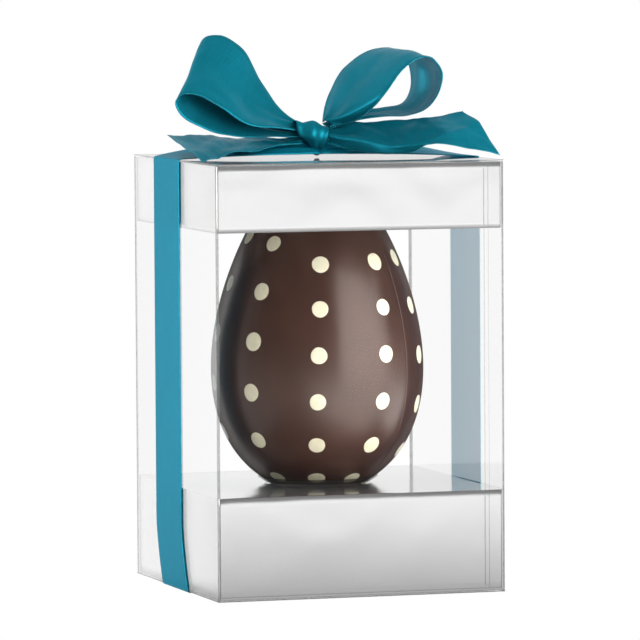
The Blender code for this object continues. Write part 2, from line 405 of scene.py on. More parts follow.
def creasedFilm(name, code, cover):
    # film tinted so that it hides part of what is behind; on the folds, stretched white and partly a
    # painted highlight
    material, tree, where = newMaterial(name)
    cloud = addNode(tree, noiseNode, {"Scale": 700, "Detail": 2}, {"Vector": where})
    share = addNode(tree, rangeNode, {"To Min": cover * 0.7, "To Max": cover * 1.3}, {"Value": cloud})
    through = addNode(tree, "ShaderNodeBsdfTransparent")
    body = addNode(tree, principled, {"Base Color": linear(code), "Roughness": 0.35})
    both = addNode(tree, mixShader, links=[share, through, body])
    return endMaterial(material, tree, both)


def silverCard():
    # board faced with silver film: a soft mirror, slightly uneven, brighter than it is sharp
    material, tree, where = newMaterial("silver faced card")
    wave = addNode(tree, noiseNode, {"Scale": 30, "Detail": 2}, {"Vector": where})
    fibre = addNode(tree, noiseNode, {"Scale": 1500, "Detail": 2}, {"Vector": where})
    broad = addNode(tree, bumpNode, {"Strength": 0.4, "Distance": 0.3 * mm}, {"Height": wave})
    settings = {"Strength": 0.15, "Distance": 0.02 * mm}
    surface = addNode(tree, bumpNode, settings, {"Height": fibre, "Normal": broad})
    colour = addNode(tree, rampNode, {"stops": ((0.3, "#eaeaea"), (0.7, "#efefef"))}, [fibre])
    settings = {"Metallic": 0.7, "Roughness": 0.12}
    shader = addNode(tree, principled, settings, {"Base Color": colour, "Normal": surface})
    return endMaterial(material, tree, shader)


def satinWeave(name, line, dark, bright, glow):
    # polyester satin: warp floats run along the ribbon and spread the gloss across it
    # thread spacing of 0.25 mm is drawn as 0.5 mm so that it shows
    material, tree, flat = newMaterial(name, "ribbon")
    across = addNode(tree, "ShaderNodeMapping", {"Scale": (60, 2000, 1)}, {"Vector": flat})
    threads = addNode(tree, noiseNode, {"Scale": 1, "Detail": 2}, {"Vector": across})
    along = addNode(tree, "ShaderNodeMapping", {"Scale": (2000, 120, 1)}, {"Vector": flat})
    picks = addNode(tree, noiseNode, {"Scale": 1, "Detail": 1}, {"Vector": along})
    warp = addNode(tree, mathNode, multiplies, [threads, 0.6])
    weft = addNode(tree, mathNode, multiplies, [picks, 0.4])
    mixed = addNode(tree, mathNode, adds, [warp, weft])
    # a fine dark line runs 1.3 mm inside each edge, where the edge threads are bound
    width = addNode(tree, "ShaderNodeSeparateXYZ", links={0: flat}).outputs[1]
    fromMiddle = addNode(tree, mathNode, subtracts, [width, 20 * mm])
    away = addNode(tree, mathNode, {"operation": "ABSOLUTE"}, [fromMiddle])
    pastLine = addNode(tree, mathNode, subtracts, [away, 18.7 * mm])
    fromLine = addNode(tree, mathNode, {"operation": "ABSOLUTE"}, [pastLine])
    bound = addNode(
        tree,
        rangeNode,
        {"From Min": 0.0, "From Max": 0.35 * mm, "To Min": -0.25, "To Max": 0.0},
        {"Value": fromLine},
    )
    shaded = addNode(tree, mathNode, adds, [mixed, bound])
    colour = addNode(tree, rampNode, {"stops": ((0.1, line), (0.35, dark), (0.65, bright))}, [shaded])
    surface = addNode(tree, bumpNode, {"Strength": 0.35, "Distance": 0.05 * mm}, {"Height": shaded})
    tangent = addNode(tree, "ShaderNodeTangent", {"direction_type": "UV_MAP", "uv_map": "ribbon"})
    shader = addNode(
        tree,
        principled,
        {
            "Roughness": 0.36,
            "Metallic": 0.45,
            "IOR": 1.25,
            "Specular IOR Level": 0.3,
            "Specular Tint": linear("#4fb4c6"),
            "Anisotropic": 0.5,
        },
        {"Base Color": colour, "Normal": surface, "Tangent": tangent},
    )
    # light from behind glows through the single layer
    thin = addNode(tree, "ShaderNodeBsdfTranslucent", {"Color": linear("#46b4c8")}, {"Normal": surface})
    both = addNode(tree, mixShader, {0: glow}, {1: shader, 2: thin})
    return endMaterial(material, tree, both)


def pickedEdge():
    # the satin's edge threads, pulled into tiny loops, coloured brighter than the satin in spots:
    # painted glints
    material, tree, where = newMaterial("satin picked edge with painted glints")
    cloud = addNode(tree, noiseNode, {"Scale": 400, "Detail": 1}, {"Vector": where})
    # the bright stop paints glints along the edge
    colour = addNode(tree, rampNode, {"stops": ((0.35, "#12788c"), (0.7, "#4fa9bb"))}, [cloud])
    settings = {"Roughness": 0.4, "IOR": 1.3, "Specular Tint": linear("#5fc4d6")}
    shader = addNode(tree, principled, settings, {"Base Color": colour})
    return endMaterial(material, tree, shader)


chocolate = temperedChocolate()
cream = cocoaButterCream()
film = clearFilm("clear carton film", 0.1, 0.5)
roofFilm = clearFilm("clear roof film", 0.02, 0.05)
# the folds' grey is partly film whitened by the bend and partly a painted highlight
crease = creasedFilm("creased film with painted highlight", "#aeb1af", 0.36)
faintCrease = creasedFilm("scored film", "#d5d8d8", 0.22)
collarFilm = creasedFilm("smoked collar film", "#8c8880", 0.35)
card = silverCard()
# one satin drawn twice: the band's copy has lighter colours and lets more light through, a painted lit
# copy of the bow's
satin = satinWeave("teal satin", "#085360", "#0e7182", "#168094", 0.04)
litBandSatin = satinWeave("teal satin painted brighter for the band", "#0a6a80", "#1092ab", "#17a5c0", 0.4)
glintingEdgeSatin = pickedEdge()
print("materials")


egg = {
    "breadth": 45.5 * mm,  # radius = breadth sin(t) (1 - taper cos(t)), t = 0 at the tip
    "taper": 0.26,
    "halfHeight": 72.75 * mm,
    "middle": 113 * mm,
    "segments": 192,
    "rings": 128,
    "seamTurns": (40.0, 220.0),  # where the two half shells meet
    "seamBead": 0.35 * mm,
    "seamSunk": 0.22 * mm,
}


def eggPoint(turn, azimuth, rise=0.0):
    # a point on the egg and its outward normal; azimuth 0 faces the front and grows to the right
    radius = egg["breadth"] * sin(turn) * (1 - egg["taper"] * cos(turn))
    height = egg["middle"] + egg["halfHeight"] * cos(turn)
    dRadius = egg["breadth"] * (cos(turn) - egg["taper"] * cos(2 * turn))
    dHeight = -egg["halfHeight"] * sin(turn)
    length = hypot(dRadius, dHeight)
    out = Vector((sin(azimuth), -cos(azimuth), 0))
    normal = out * (-dHeight / length) + Vector((0, 0, dRadius / length))
    return out * radius + Vector((0, 0, height)) + normal * rise, normal


def eggTree(values):
    tree, given = newTree("turned egg", values)
    ball = addNode(
        tree,
        "GeometryNodeMeshUVSphere",
        {"Radius": 1.0},
        {"Segments": given["Segments"], "Rings": given["Rings"]},
    )
    spot = addNode(tree, "GeometryNodeInputPosition")
    parts = addNode(tree, "ShaderNodeSeparateXYZ", links={0: spot}).outputs
    tapered = addNode(tree, mathNode, multiplies, [given["Taper"], parts[2]])
    narrow = addNode(tree, mathNode, subtracts, [1.0, tapered])
    scale = addNode(tree, mathNode, multiplies, [narrow, given["Breadth"]])
    rise = addNode(tree, mathNode, multiplies, [parts[2], given["Half Height"]])
    height = addNode(tree, mathNode, adds, [rise, given["Middle"]])
    moved = addNode(
        tree,
        "ShaderNodeCombineXYZ",
        links=[
            addNode(tree, mathNode, multiplies, [parts[0], scale]),
            addNode(tree, mathNode, multiplies, [parts[1], scale]),
            height,
        ],
    )
    shaped = addNode(tree, moveNode, links={"Geometry": ball, "Position": moved})
    endTree(tree, shaped, given["Material"])
    return tree


def makeEgg():
    values = {
        "Segments": egg["segments"],
        "Rings": egg["rings"],
        "Breadth": egg["breadth"],
        "Taper": egg["taper"],
        "Half Height": egg["halfHeight"],
        "Middle": egg["middle"],
        "Material": chocolate,
    }
    piece = grow("eggShell", eggTree(values), values)
    return place(piece, "chocolate", "egg")


def lineMesh(name, lines):
    # polylines as a mesh of loose edges
    mesh = bpy.data.meshes.new(name)
    points, edges = [], []
    for line in lines:
        edges += [(len(points) + k, len(points) + k + 1) for k in range(len(line) - 1)]
        points += line
    mesh.from_pydata([tuple(p) for p in points], edges, [])
    return mesh


def beadTree(values):
    # a round bead along each line
    tree, given = newTree("seam bead", values)
    line = addNode(tree, "GeometryNodeMeshToCurve", links={"Mesh": given["Geometry"]})
    radius = {"Radius": given["Radius"]}
    ring = addNode(tree, "GeometryNodeCurvePrimitiveCircle", {"Resolution": 8}, radius)
    ends = {"Fill Caps": True}
    tube = addNode(tree, "GeometryNodeCurveToMesh", ends, {"Curve": line, "Profile Curve": ring})
    endTree(tree, tube, given["Material"])
    return tree


def makeSeam():
    lines = []
    for azimuth in egg["seamTurns"]:
        turns = [0.02 + (pi - 0.04) * k / 120 for k in range(121)]
        lines.append([eggPoint(t, radians(azimuth), -egg["seamSunk"])[0] for t in turns])
    values = {"Radius": egg["seamBead"], "Material": chocolate}
    return place(grow("eggSeam", beadTree(values), values, lineMesh("seam", lines)), "chocolate")


dots = {
    "radius": 4.35 * mm,
    "rise": 0.22 * mm,
    "sunk": 0.12 * mm,
    "count": 6,  # in each column
    "sizeSpread": 0.07,
    "outlineSpread": 0.5 * mm,
    "seed": 4,
    # azimuth, distance of the first dot from the tip, spacing down the shell, lean of the column
    "columns": (
        (-86, 46, 22.4, -2.6),
        (-52, 49, 22.2, -1.2),
        (-14.5, 58.5, 20.3, -0.8),
        (27, 58, 20.6, -1.9),
        (54.5, 57, 22.0, 1.2),
        (93, 47, 22.4, 0.5),
        (128, 56, 21.5, -0.8),
        (165, 49, 22.2, 0.6),
        (201, 58, 20.8, -0.5),
        (237, 50, 21.8, 0.7),
    ),
}


def turnAtDistance(distance):
    # the outline's turn at this distance from the tip along the shell
    run, turn, step = 0.0, 0.0, pi / 2000
    last = eggPoint(0.0, 0.0)[0]
    while run < distance and turn < pi:
        turn += step
        point = eggPoint(turn, 0.0)[0]
        run += (point - last).length
        last = point
    return turn


def dotTree(values):
    tree, given = newTree("dots on the shell", values)
    disc = addNode(
        tree,
        "GeometryNodeMeshCone",
        {"Vertices": 40, "Side Segments": 8, "Radius Top": 0.0, "Radius Bottom": 1.0, "Depth": 0.01},
    )
    spot = addNode(tree, "GeometryNodeInputPosition")
    parts = addNode(tree, "ShaderNodeSeparateXYZ", links={0: spot}).outputs
    flat = addNode(tree, "ShaderNodeCombineXYZ", links={0: parts[0], 1: parts[1]})
    out = addNode(tree, vectorMath, measures, {0: flat}).outputs["Value"]
    fall = addNode(tree, mathNode, {"operation": "POWER"}, [out, 6.0])
    edge = addNode(tree, mathNode, subtracts, [1.0, fall])
    domed = addNode(tree, mathNode, multiplies, [edge, given["Rise"]])
    lift = addNode(tree, mathNode, subtracts, [domed, given["Sunk"]])
    # how far each point of the disc stands off the shell: domed, and sunk at the rim
    marked = addNode(
        tree,
        "GeometryNodeStoreNamedAttribute",
        {"data_type": "FLOAT", "domain": "POINT", "Name": "lift"},
        {"Geometry": disc, "Value": lift},
    )
    thin = addNode(tree, moveNode, links={"Geometry": marked, "Position": flat})
    normal = addNode(tree, attributeNode, {"data_type": "FLOAT_VECTOR", "Name": "out"})
    turned = addNode(tree, "FunctionNodeAlignRotationToVector", {"axis": "Z"}, {"Vector": normal})
    lowest = addNode(tree, mathNode, subtracts, [1.0, given["Size Spread"]])
    highest = addNode(tree, mathNode, adds, [1.0, given["Size Spread"]])
    size = addNode(
        tree,
        "FunctionNodeRandomValue",
        {"data_type": "FLOAT"},
        {"Min": lowest, "Max": highest, "Seed": given["Seed"]},
    )
    size = addNode(tree, mathNode, multiplies, [size.outputs["Value"], given["Radius"]])
    spread = addNode(
        tree,
        "GeometryNodeInstanceOnPoints",
        links={"Points": given["Geometry"], "Instance": thin, "Rotation": turned, "Scale": size},
    )
    whole = addNode(tree, "GeometryNodeRealizeInstances", links={"Geometry": spread})
    # uneven outline, then every point is set on the shell at its own lift
    here = addNode(tree, "GeometryNodeInputPosition")
    drift = addNode(tree, noiseNode, {"Scale": 160.0, "Detail": 1.0}, {"Vector": here}).outputs["Color"]
    centred = addNode(tree, vectorMath, {"operation": "SUBTRACT", 1: (0.5, 0.5, 0.5)}, {0: drift})
    amount = {0: centred, "Scale": given["Outline Spread"]}
    wander = addNode(tree, vectorMath, {"operation": "SCALE"}, amount)
    loose = addNode(tree, moveNode, links={"Geometry": whole, "Offset": wander})
    lifted = addNode(tree, attributeNode, {"data_type": "FLOAT", "Name": "lift"})
    now = addNode(tree, "ShaderNodeSeparateXYZ", links={0: here}).outputs
    over = addNode(tree, mathNode, subtracts, [now[2], given["Middle"]])
    level = addNode(tree, mathNode, divides, [over, given["Half Height"]])
    squared = addNode(tree, mathNode, multiplies, [level, level])
    rest = addNode(tree, mathNode, subtracts, [1.0, squared])
    circle = addNode(tree, mathNode, {"operation": "SQRT"}, [rest])
    tapered = addNode(tree, mathNode, multiplies, [given["Taper"], level])
    narrow = addNode(tree, mathNode, subtracts, [1.0, tapered])
    outline = addNode(tree, mathNode, multiplies, [circle, narrow])
    shell = addNode(tree, mathNode, multiplies, [outline, given["Breadth"]])
    wanted = addNode(tree, mathNode, adds, [shell, lifted])
    flatNow = addNode(tree, "ShaderNodeCombineXYZ", links={0: now[0], 1: now[1]})
    reach = addNode(tree, vectorMath, measures, {0: flatNow}).outputs["Value"]
    scale = addNode(tree, mathNode, divides, [wanted, reach])
    onShell = addNode(
        tree,
        "ShaderNodeCombineXYZ",
        links=[
            addNode(tree, mathNode, multiplies, [now[0], scale]),
            addNode(tree, mathNode, multiplies, [now[1], scale]),
            now[2],
        ],
    )
    laid = addNode(tree, moveNode, links={"Geometry": loose, "Position": onShell})
    endTree(tree, laid, given["Material"])
    return tree


def makeDots():
    points, normals = [], []
    for azimuth, first, spacing, lean in dots["columns"]:
        for k in range(dots["count"]):
            turn = turnAtDistance((first + spacing * k) * mm)
            point, normal = eggPoint(turn, radians(azimuth + lean * k))
            points.append(tuple(point))
            normals.append(tuple(normal))
    start = bpy.data.meshes.new("dotPlaces")
    start.from_pydata(points, [], [])
    out = start.attributes.new("out", "FLOAT_VECTOR", "POINT")
    for item, normal in zip(out.data, normals):
        item.vector = normal
    values = {
        "Radius": dots["radius"],
        "Rise": dots["rise"],
        "Sunk": dots["sunk"],
        "Size Spread": dots["sizeSpread"],
        "Outline Spread": dots["outlineSpread"],
        "Breadth": egg["breadth"],
        "Taper": egg["taper"],
        "Half Height": egg["halfHeight"],
        "Middle": egg["middle"],
        "Seed": dots["seed"],
        "Material": cream,
    }
    return place(grow("creamDots", dotTree(values), values, start), "chocolate")


makeEgg()
makeSeam()
makeDots()
print("egg")


collar = {
    "foot": 45.8 * mm,
    "lip": 48.7 * mm,
    "gap": 0.35 * mm,
    "wall": 0.4 * mm,
    "sides": 128,
    "steps": 8,
}


def turnAtHeight(height):
    low, high = pi / 2, pi
    for _ in range(40):
        middle = (low + high) / 2
        if eggPoint(middle, 0.0)[0].z > height:
            low = middle
        else:
            high = middle
    return low


def ringFaces(form, upper, lower):
    count = len(upper)
    for k in range(count):
        form.faces.new((upper[k], lower[k], lower[(k + 1) % count], upper[(k + 1) % count]))


def ringGrid(name, rings, material, closed=False, sharpFrom=40):
    # faces between rings of equal length; closed joins the last ring to the first
    form = bmesh.new()
    made = [[form.verts.new(p) for p in ring] for ring in rings]
    pairs = list(zip(made, made[1:]))
    if closed:
        pairs.append((made[-1], made[0]))
    for upper, lower in pairs:
        ringFaces(form, upper, lower)
    bmesh.ops.recalc_face_normals(form, faces=form.faces)
    return newObject(name, meshOf(form, name), material, sharpFrom)


def makeCollar():
    # a thin clear cup lip that flares with the shell
    turns = []
    for k in range(collar["steps"] + 1):
        share = k / collar["steps"]
        turns.append(turnAtHeight(collar["foot"] + (collar["lip"] - collar["foot"]) * share))
    outline = []
    for grown, order in ((collar["gap"], turns), (collar["gap"] + collar["wall"], turns[::-1])):
        for turn in order:
            point, _ = eggPoint(turn, pi / 2, grown)
            outline.append((point.x, max(point.z, collar["foot"])))
    rings = []
    for radius, height in outline:
        angles = [2 * pi * k / collar["sides"] for k in range(collar["sides"])]
        rings.append([(radius * cos(a), radius * sin(a), height) for a in angles])
    return place(ringGrid("eggCollar", rings, collarFilm, closed=True), "clear_film", "collar")


makeCollar()
print("collar")


insert = {
    "half": 64.3 * mm,
    "fold": 0.15 * mm,
    "corner": 0.9 * mm,
    "wall": 0.7 * mm,
    "perSide": 36,
    "cornerSteps": 4,
    "wave": 0.18 * mm,  # how far the board leaves the flat
    "waveLength": 34 * mm,
    "holeGap": 0.6 * mm,
    "topRings": 18,
    "foldSteps": 4,
    "sideRings": 12,
}


def roundedSquare(half, corner, perSide, cornerSteps):
    # points round a square with rounded corners, counter-clockwise from its right side
    points = []
    for quarter in range(4):
        turn = pi / 2 * quarter
        straight = half - corner
        for k in range(perSide):
            along = -straight + 2 * straight * k / perSide
            points.append((half * cos(turn) - along * sin(turn), half * sin(turn) + along * cos(turn)))
        for k in range(cornerSteps):
            angle = turn + pi / 2 * k / cornerSteps
            centreX = straight * cos(turn) - straight * sin(turn)
            centreY = straight * sin(turn) + straight * cos(turn)
            points.append((centreX + corner * cos(angle), centreY + corner * sin(angle)))
    return points


def waver(point, seed):
    # the board's slight unevenness at a point
    spot = Vector(point) / insert["waveLength"] + Vector((seed, 0, 0))
    return noise(spot) * insert["wave"]


def cardBox(name, low, high, hole, seed, material):
    # a folded tray of board, flat on top, with a round hole or without one
    half, fold = insert["half"], insert["fold"]
    outline = roundedSquare(1.0, insert["corner"] / half, insert["perSide"], insert["cornerSteps"])
    count = len(outline)
    reach = half - fold
    rings = []
    inner = hole if hole else 0.5 * mm
    for k in range(insert["topRings"] + 1):
        share = k / insert["topRings"]
        ring = []
        for x, y in outline:
            away = hypot(x, y)
            fromX, fromY = x / away * inner, y / away * inner
            spot = (fromX + (x * reach - fromX) * share, fromY + (y * reach - fromY) * share, high)
            dip = waver(spot, seed) * min(1, 4 * (1 - share)) * min(1, 4 * share)
            ring.append((spot[0], spot[1], high - insert["wave"] + dip))
        rings.append(ring)
    for k in range(1, insert["foldSteps"] + 1):
        angle = pi / 2 * k / insert["foldSteps"]
        span = reach + fold * sin(angle)
        level = high - insert["wave"] - fold + fold * cos(angle)
        rings.append([(x * span, y * span, level) for x, y in outline])
    depth = rings[-1][0][2] - low
    for k in range(1, insert["sideRings"] + 1):
        level = low + depth * (1 - k / insert["sideRings"])
        ring = []
        for x, y in outline:
            flat = max(0.0, 1 - max(0, min(abs(x), abs(y)) - 0.9) * 10)
            inset = abs(waver((x * half, y * half, level), seed)) * flat * min(1, k / 3)
            ring.append((x * (half - inset), y * (half - inset), level))
        rings.append(ring)
    form = bmesh.new()
    made = [[form.verts.new(p) for p in ring] for ring in rings]
    for upper, lower in zip(made, made[1:]):
        ringFaces(form, upper, lower)
    if not hole:
        centre = form.verts.new((0, 0, rings[0][0][2]))
        for k in range(count):
            form.faces.new((centre, made[0][k], made[0][(k + 1) % count]))
    piece = newObject(name, meshOf(form, name), material, 50)
    sheet = piece.modifiers.new("board", "SOLIDIFY")
    sheet.thickness = insert["wall"]
    sheet.offset = -1
    return piece


def makeInserts():
    lidLow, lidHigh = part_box("lid_insert")
    plinthLow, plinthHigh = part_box("plinth")
    place(cardBox("lidTray", lidLow.z, lidHigh.z, None, 3.0, card), "silver_card", "lid_insert")
    seat = eggPoint(turnAtHeight(plinthHigh.z), pi / 2, insert["holeGap"])[0].x
    place(cardBox("plinthBox", plinthLow.z, plinthHigh.z, seat, 7.0, card), "silver_card", "plinth")


makeInserts()
print("inserts")


carton = {
    "creaseRadius": 0.8 * mm,
    "creaseProud": 0.05 * mm,
    "creaseReach": 0.2 * mm,  # how far the whitened strip runs past the fold
    "lineWidth": 0.35 * mm,
    "film": 0.4 * mm,
    "foldFilm": 0.03 * mm,
    "flap": 9.0 * mm,  # width of the glue flap inside the front wall
    # its scored lines: start, width, gap at the foot, gap at the head
    "flapLines": ((0.0, 0.35 * mm, 3 * mm, 3 * mm), (2 * mm, 0.2 * mm, 2 * mm, 0.0)),
}


def makeFilm():
    # the walls with their floor, and the roof, each drawn as one skin, flat between its folds
    outline = roundedSquare(1.0, carton["creaseRadius"] / side, 1, 6)
    form = bmesh.new()
    lower = [form.verts.new((x * side, y * side, wallLow.z)) for x, y in outline]
    upper = [form.verts.new((x * side, y * side, wallHigh.z)) for x, y in outline]
    ringFaces(form, upper, lower)
    form.faces.new(lower[::-1])
    sleeve = newObject("cartonSleeve", meshOf(form, "cartonSleeve"), film, 10)
    place(sleeve, "clear_film", "carton_walls")

    form = bmesh.new()
    form.faces.new([form.verts.new((x * side, y * side, roof)) for x, y in outline])
    place(newObject("cartonRoof", meshOf(form, "cartonRoof"), roofFilm, 10), "clear_film", "carton_top")


def bar(form, low, high):
    # an upright box between two corners
    made = bmesh.ops.create_cube(form, size=1.0)["verts"]
    for vert in made:
        vert.co = Vector([(a + b) / 2 + c * (b - a) for a, b, c in zip(low, high, vert.co)])


def makeCreases():
    # the upright folds, whitened where the film is bent, their grey partly a painted highlight
    radius = carton["creaseRadius"] + carton["creaseProud"]
    centre = side - carton["creaseRadius"]
    reach = carton["creaseReach"]
    profile = [(centre + radius, centre - reach)]
    profile += [
        (centre + radius * cos(pi / 2 * k / 6), centre + radius * sin(pi / 2 * k / 6)) for k in range(7)
    ]
    profile += [(centre - reach, centre + radius)]
    form = bmesh.new()
    for quarter in range(4):
        spin = Matrix.Rotation(pi / 2 * quarter, 3, "Z")
        for inner in range(len(profile) - 1):
            corners = []
            for x, y in (profile[inner], profile[inner + 1]):
                for z in (wallLow.z + 0.4 * mm, wallHigh.z - 0.1 * mm):
                    corners.append(form.verts.new(spin @ Vector((x, y, z))))
            form.faces.new((corners[0], corners[2], corners[3], corners[1]))
    bmesh.ops.remove_doubles(form, verts=form.verts, dist=0.001 * mm)
    piece = newObject("uprightFolds", meshOf(form, "uprightFolds"), crease)
    thick = piece.modifiers.new("film", "SOLIDIFY")
    thick.thickness = carton["foldFilm"]
    thick.offset = 1
    place(piece, "clear_film")


def makeRims():
    # folds round the roof and the floor, and the scored edges of the glue flap
    form = bmesh.new()
    width = carton["lineWidth"]
    out = side + carton["creaseProud"]
    for level in (roof - width, wallLow.z):
        for sign in (-1, 1):
            lowX, highX = sorted((sign * out, sign * (out - width)))
            bar(form, (lowX, -out, level), (highX, out, level + width))
            bar(form, (-out, lowX, level), (out, highX, level + width))
    # these folds wear the creased film, its grey partly a painted highlight
    place(newObject("levelFolds", meshOf(form, "levelFolds"), crease, 30), "clear_film")

    form = bmesh.new()
    inside = side - carton["film"]
    for start, wide, foot, head in carton["flapLines"]:
        left = side - carton["flap"] + start
        low = (left, -inside, wallLow.z + foot)
        bar(form, low, (left + wide, -inside + 0.1 * mm, wallHigh.z - head))
    place(newObject("glueFlapEdge", meshOf(form, "glueFlapEdge"), faintCrease, 30), "clear_film")


makeFilm()
makeCreases()
makeRims()
print("carton")


ribbon = {
    "width": 40 * mm,
    "thickness": 0.32 * mm,
    "across": 28,  # faces over the width
    "along": 110,  # faces along a strand
    "beadSpacing": 1.1 * mm,
    "beadRadius": 0.26 * mm,
}


def layCloth(name, rows, material, length):
    # a strip through rows of points, with its flat place in metres as the UV map
    form = bmesh.new()
    flat = form.loops.layers.uv.new("ribbon")
    made = [[form.verts.new(p) for p in row] for row in rows]
    lastRow, lastPoint = len(rows) - 1, len(rows[0]) - 1
    for i in range(lastRow):
        for j in range(lastPoint):
            face = form.faces.new((made[i][j], made[i + 1][j], made[i + 1][j + 1], made[i][j + 1]))
            corners = ((i, j), (i + 1, j), (i + 1, j + 1), (i, j + 1))
            for loop, (a, b) in zip(face.loops, corners):
                loop[flat].uv = (length * a / lastRow, ribbon["width"] * b / lastPoint)
    piece = newObject(name, meshOf(form, name), material)
    thick = piece.modifiers.new("cloth", "SOLIDIFY")
    thick.thickness = ribbon["thickness"]
    thick.offset = 0
    return piece


def beadLineTree(values):
    # small beads along each line, the picked edge of the ribbon
    tree, given = newTree("picked edge", values)
    line = addNode(tree, "GeometryNodeMeshToCurve", links={"Mesh": given["Geometry"]})
    spaced = addNode(
        tree,
        "GeometryNodeCurveToPoints",
        {"mode": "LENGTH"},
        {"Curve": line, "Length": given["Spacing"]},
    )
    bead = addNode(tree, "GeometryNodeMeshIcoSphere", {"Subdivisions": 2}, {"Radius": given["Radius"]})
    strung = addNode(tree, "GeometryNodeInstanceOnPoints", links={"Points": spaced, "Instance": bead})
    endTree(tree, strung, given["Material"])
    return tree


def edgeBeads(name, rows):
    lines = [[row[0] for row in rows], [row[-1] for row in rows]]
    values = {"Spacing": ribbon["beadSpacing"], "Radius": ribbon["beadRadius"], "Material": glintingEdgeSatin}
    piece = grow(name, beadLineTree(values), values, lineMesh(name + "Line", lines))
    return place(piece, "satin")


def midLength(rows):
    middle = len(rows[0]) // 2
    return sum((b[middle] - a[middle]).length for a, b in zip(rows, rows[1:]))


def crossSections(sections, along, across, crease, sharp):
    # rows of points through cross-sections of two or three points, back to front, in mm over the roof
    lift = Vector((0, 0, roof))
    rails = ([], [], [])
    for section in sections:
        points = [Vector(p) * mm + lift for p in section]
        if len(points) == 2:
            points.insert(1, points[0].lerp(points[1], crease))
        for rail, point in zip(rails, points):
            rail.append(point)
    smooth = [curveThrough(rail, along) for rail in rails]
    rows = []
    for i in range(along + 1):
        back, middle, front = [rail[i] for rail in smooth]
        bent = curveThrough([back, middle, front], across)
        share = (middle - back).length / ((middle - back).length + (front - middle).length)
        row = []
        for j, point in enumerate(bent):
            q = j / across
            if q < share:
                folded = back.lerp(middle, q / share)
            else:
                folded = middle.lerp(front, (q - share) / (1 - share))
            row.append(point.lerp(folded, sharp))
        rows.append(row)
    return rows


def makeStrand(name, node, values):
    along, across = ribbon["along"], ribbon["across"]
    smooth = crossSections(values["sections"], along, across, values["crease"], values["sharp"])
    rows = []
    for i, row in enumerate(smooth):
        s = i / along
        near = exp(-s / values["pleatRun"])
        if values["bothEnds"]:
            near += exp(-(1 - s) / values["pleatRun"])
        before, after = smooth[max(i - 1, 0)], smooth[min(i + 1, along)]
        line = []
        for j, point in enumerate(row):
            q = j / across
            width = row[min(j + 1, across)] - row[max(j - 1, 0)]
            normal = (after[j] - before[j]).cross(width).normalized()
            crown = 4 * q * (1 - q)
            pleat = sin(2 * pi * values["pleats"] * q + values["phase"] + 2 * s) * crown**0.3
            ripple = noise(Vector((s * 5, q * 2.5, values["seed"]))) * values["ripple"]
            fine = noise(Vector((s * 16, q * 5, values["seed"] + 9))) * values["ripple"] * 0.25
            push = values["bow"] * crown * sin(pi * min(1, s * 1.2))
            push += pleat * near * values["pleatDepth"]
            line.append(point + normal * (push + (ripple + fine) * (1 - 0.7 * near)) * mm)
        rows.append(line)
    length = midLength(rows)
    cloth = place(layCloth(name, rows, satin, length), "satin", node)
    beads = edgeBeads(name + "Edge", rows)
    return cloth


loopLeft = {
    "sections": (
        ((-6.5, 5, 14.4), (-6.5, -3, 11.6)),
        ((-14, 12.5, 22.5), (-20, -4.5, 13)),
        ((-19.5, 20, 34), (-33, -4.5, 14.5)),
        ((-25.5, 22.5, 45.5), (-43, -3.5, 21.5)),
        ((-34, 25.5, 52.5), (-52.5, -0.5, 27.5)),
        ((-41.5, 27.5, 53), (-60, 2, 28.5)),
        ((-44.5, 28.5, 49.5), (-63, 3, 24.5)),
        ((-42, 27.5, 42.5), (-60, 2, 18.8)),
        ((-31.5, 22.5, 31), (-48, 0.5, 12.6)),
        ((-22, 15, 20), (-35, -1.5, 9.6)),
        ((-14, 8.5, 14), (-20, -2.5, 9.2)),
        ((-6.5, 5, 11.4), (-6.5, -3, 9.2)),
    ),
    "crease": 0.5,
    "sharp": 0.0,
    "bow": -1.2,
    "pleats": 2.2,
    "pleatDepth": 1.2,
    "pleatRun": 0.09,
    "phase": 0.4,
    "ripple": 1.6,
    "bothEnds": True,
    "seed": 2.3,
    "cut": 1.0,
    "restsOn": "bow_knot",
}

# the front of the upper strand is folded under for a third of its run
loopRight = {
    "sections": (
        ((4.5, 4, 15.4), (4.4, -4.5, 15.8), (5.2, -6, 13.6)),
        ((7, 8, 23), (9, -11, 17.4), (13, -9.5, 15.4)),
        ((11, 10.5, 30.5), (15.8, -22, 22.4), (17.2, -18.5, 19)),
        ((16.5, 10, 38.5), (21.5, -28, 28.5), (21.5, -29.5, 26.5)),
        ((25.5, 7, 46), (32, -20, 43.6), (35, -32, 42.5)),
        ((35, 5, 47.5), (42.5, -34, 44.5)),
        ((42.5, 3.5, 43), (47.5, -35.5, 38.5)),
        ((45, 3, 34.5), (47, -35, 31)),
        ((43.5, 1.5, 27), (43, -30, 23)),
        ((38, -2, 22.6), (36.5, -21, 19)),
        ((30, -2, 21.4), (27, -13, 17.6)),
        ((18, 1, 19), (16, -8, 15.6)),
        ((4.5, 4, 14.6), (4.5, -4.5, 12.4)),
    ),
    "crease": 0.7,
    "sharp": 0.0,
    "bow": -1.0,
    "pleats": 2.2,
    "pleatDepth": 0.9,
    "pleatRun": 0.07,
    "phase": 1.1,
    "ripple": 1.4,
    "bothEnds": True,
    "seed": 5.1,
    "cut": 1.0,
    "restsOn": "bow_knot",
}

tailLeft = {
    "sections": (
        ((-6.5, 5, 9), (-6.5, -2, 6)),
        ((-18.7, 11, 7.8), (-19, -4, 5)),
        ((-30, 15, 8.2), (-31, -11, 4)),
        ((-45, 18, 9), (-49, -24, 2.2)),
        ((-62, 20, 9.6), (-64, -41, 0.9)),
    ),
    "crease": 0.5,
    "sharp": 0.0,
    "bow": 0.8,
    "pleats": 2.2,
    "pleatDepth": 1.2,
    "pleatRun": 0.2,
    "phase": 0.2,
    "ripple": 1.6,
    "bothEnds": False,
    "seed": 8.8,
    "cut": 0.85,  # the end is cut on a slant
    "restsOn": "carton_top",
}

